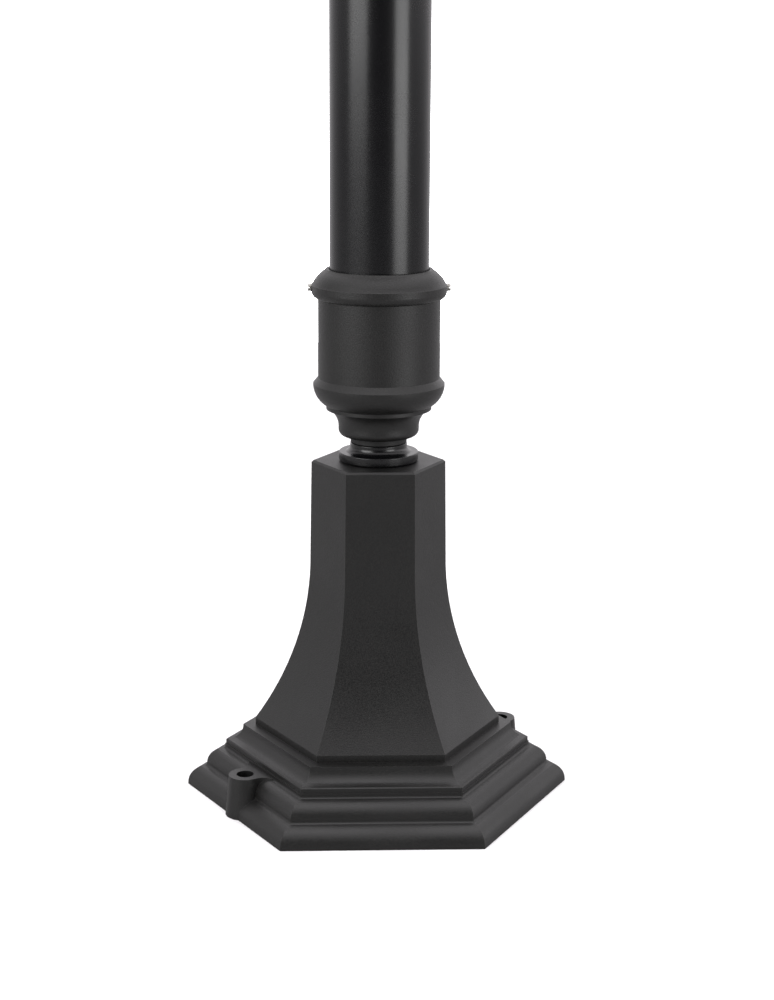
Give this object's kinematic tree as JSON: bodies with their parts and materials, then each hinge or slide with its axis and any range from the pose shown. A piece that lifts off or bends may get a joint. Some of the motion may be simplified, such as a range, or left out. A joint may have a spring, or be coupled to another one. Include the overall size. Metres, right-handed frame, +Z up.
{
  "type": "street clock",
  "caption": "Double-sided street clock on a round post, with a flared hexagonal foot, a cup collar held by set screws, a swivelling drum head, hinged glazed bezels and geared hands.",
  "frame": {"origin": "on the ground, on the axis of the post, under the foot's middle", "axes": "+Z up along the post, -Y out of the front dial, +X to the right of the front dial"},
  "size_m": [0.382, 0.2092, 2.032],
  "materials": {
    "cast_iron_coat": "satin",
    "cast_coat": "satin",
    "turned_coat": "gloss",
    "tube_coat": "satin",
    "case_coat": "satin",
    "swivel_nylon": "matte",
    "zinc_steel": "satin",
    "stainless": "satin",
    "grommet_rubber": "matte",
    "gasket_rubber": "matte",
    "earth_brass": "satin",
    "clock_brass": "satin",
    "hand_nut_brass": "satin",
    "dial_enamel": "satin",
    "ring_aluminium": "satin",
    "hand_lacquer": "satin",
    "cover_glass": "polished",
    "motor_case": "satin",
    "terminal_nylon": "matte"
  },
  "bodies": {
    "foot": {"base_casting": "cast_iron_coat", "earth_screw": "earth_brass", "foot_spool": "turned_coat", "foot_swivel_ring": "swivel_nylon", "foot_stud": "zinc_steel", "foot_stud_washers": "zinc_steel", "foot_stud_nuts": "zinc_steel", "cable_grommet": "grommet_rubber"},
    "post": {"lower_collar": "cast_coat", "post_tube": "tube_coat", "upper_collar": "cast_coat"},
    "head": {"head_spool": "turned_coat", "head_swivel_ring": "swivel_nylon", "head_stud": "zinc_steel", "head_stud_washers": "zinc_steel", "head_stud_nuts": "zinc_steel", "head_saddle": "cast_coat", "drum_shell": "case_coat", "finial": "turned_coat", "finial_nut": "zinc_steel", "hinge_pins": "stainless", "dial_screws": "stainless", "movement_pillars": "clock_brass", "wheel_posts": "zinc_steel", "bush_nuts": "clock_brass", "terminal_block": "terminal_nylon", "front_rim_ring": "ring_aluminium", "front_dial": "dial_enamel", "front_movement_plate": "clock_brass", "front_motor": "motor_case", "front_centre_bush": "clock_brass", "rear_rim_ring": "ring_aluminium", "rear_dial": "dial_enamel", "rear_movement_plate": "clock_brass", "rear_motor": "motor_case", "rear_centre_bush": "clock_brass"},
    "lower_set_screw_left": {"lower_set_screw_left": "stainless"},
    "lower_set_screw_right": {"lower_set_screw_right": "stainless"},
    "upper_set_screw_left": {"upper_set_screw_left": "stainless"},
    "upper_set_screw_right": {"upper_set_screw_right": "stainless"},
    "front_door": {"front_bezel": "case_coat", "front_gasket": "gasket_rubber", "front_glass": "cover_glass"},
    "front_lock": {"front_lock_screw": "stainless"},
    "front_minute_train": {"front_minute_arbor": "stainless", "front_minute_hand": "hand_lacquer", "front_hand_nut": "hand_nut_brass"},
    "front_hour_train": {"front_hour_wheel": "clock_brass", "front_hour_hand": "hand_lacquer"},
    "front_motion_wheel": {"front_minute_wheel": "clock_brass"},
    "rear_door": {"rear_bezel": "case_coat", "rear_gasket": "gasket_rubber", "rear_glass": "cover_glass"},
    "rear_lock": {"rear_lock_screw": "stainless"},
    "rear_minute_train": {"rear_minute_arbor": "stainless", "rear_minute_hand": "hand_lacquer", "rear_hand_nut": "hand_nut_brass"},
    "rear_hour_train": {"rear_hour_wheel": "clock_brass", "rear_hour_hand": "hand_lacquer"},
    "rear_motion_wheel": {"rear_minute_wheel": "clock_brass"}
  },
  "joints": [
    {"name": "post_swivel", "type": "hinge", "parent": "foot", "child": "post", "pos_m": [0, 0, 0.2277], "axis": [0, 0, 1], "range_deg": [-170, 170]},
    {"name": "head_swivel", "type": "hinge", "parent": "post", "child": "head", "pos_m": [0, 0, 1.5903], "axis": [0, 0, 1], "range_deg": [-170, 170]},
    {"name": "lower_set_screw_left_travel", "type": "slide", "parent": "post", "child": "lower_set_screw_left", "axis": [-1, 0, 0], "range_m": [0, 0.006]},
    {"name": "lower_set_screw_right_travel", "type": "slide", "parent": "post", "child": "lower_set_screw_right", "axis": [1, 0, 0], "range_m": [0, 0.006]},
    {"name": "upper_set_screw_left_travel", "type": "slide", "parent": "post", "child": "upper_set_screw_left", "axis": [-1, 0, 0], "range_m": [0, 0.006]},
    {"name": "upper_set_screw_right_travel", "type": "slide", "parent": "post", "child": "upper_set_screw_right", "axis": [1, 0, 0], "range_m": [0, 0.006]},
    {"name": "front_door_hinge", "type": "hinge", "parent": "head", "child": "front_door", "pos_m": [-0.1812, -0.05025, 1.792], "axis": [0, 0, -1], "range_deg": [0, 110]},
    {"name": "front_lock_turn", "type": "hinge", "parent": "front_door", "child": "front_lock", "pos_m": [0.183, -0.055, 1.792], "axis": [0, -1, 0], "range_deg": [0, 90]},
    {"name": "front_minute_turn", "type": "hinge", "parent": "head", "child": "front_minute_train", "pos_m": [0, -0.05, 1.792], "axis": [0, 1, 0], "continuous": true},
    {"name": "front_hour_turn", "type": "hinge", "parent": "head", "child": "front_hour_train", "pos_m": [0, -0.045, 1.792], "axis": [0, 1, 0], "continuous": true},
    {"name": "front_motion_turn", "type": "hinge", "parent": "head", "child": "front_motion_wheel", "pos_m": [0, -0.03, 1.822], "axis": [0, 1, 0], "continuous": true},
    {"name": "rear_door_hinge", "type": "hinge", "parent": "head", "child": "rear_door", "pos_m": [0.1812, 0.05025, 1.792], "axis": [0, 0, -1], "range_deg": [0, 110]},
    {"name": "rear_lock_turn", "type": "hinge", "parent": "rear_door", "child": "rear_lock", "pos_m": [-0.183, 0.055, 1.792], "axis": [0, 1, 0], "range_deg": [0, 90]},
    {"name": "rear_minute_turn", "type": "hinge", "parent": "head", "child": "rear_minute_train", "pos_m": [0, 0.05, 1.792], "axis": [0, -1, 0], "continuous": true},
    {"name": "rear_hour_turn", "type": "hinge", "parent": "head", "child": "rear_hour_train", "pos_m": [0, 0.045, 1.792], "axis": [0, -1, 0], "continuous": true},
    {"name": "rear_motion_turn", "type": "hinge", "parent": "head", "child": "rear_motion_wheel", "pos_m": [0, 0.03, 1.822], "axis": [0, -1, 0], "continuous": true}
  ],
  "couplings": [
    {"joint": "front_hour_turn", "follows": "front_minute_turn", "ratio": 0.083333},
    {"joint": "front_motion_turn", "follows": "front_minute_turn", "ratio": -0.33333},
    {"joint": "rear_hour_turn", "follows": "rear_minute_turn", "ratio": 0.083333},
    {"joint": "rear_motion_turn", "follows": "rear_minute_turn", "ratio": -0.33333}
  ]
}
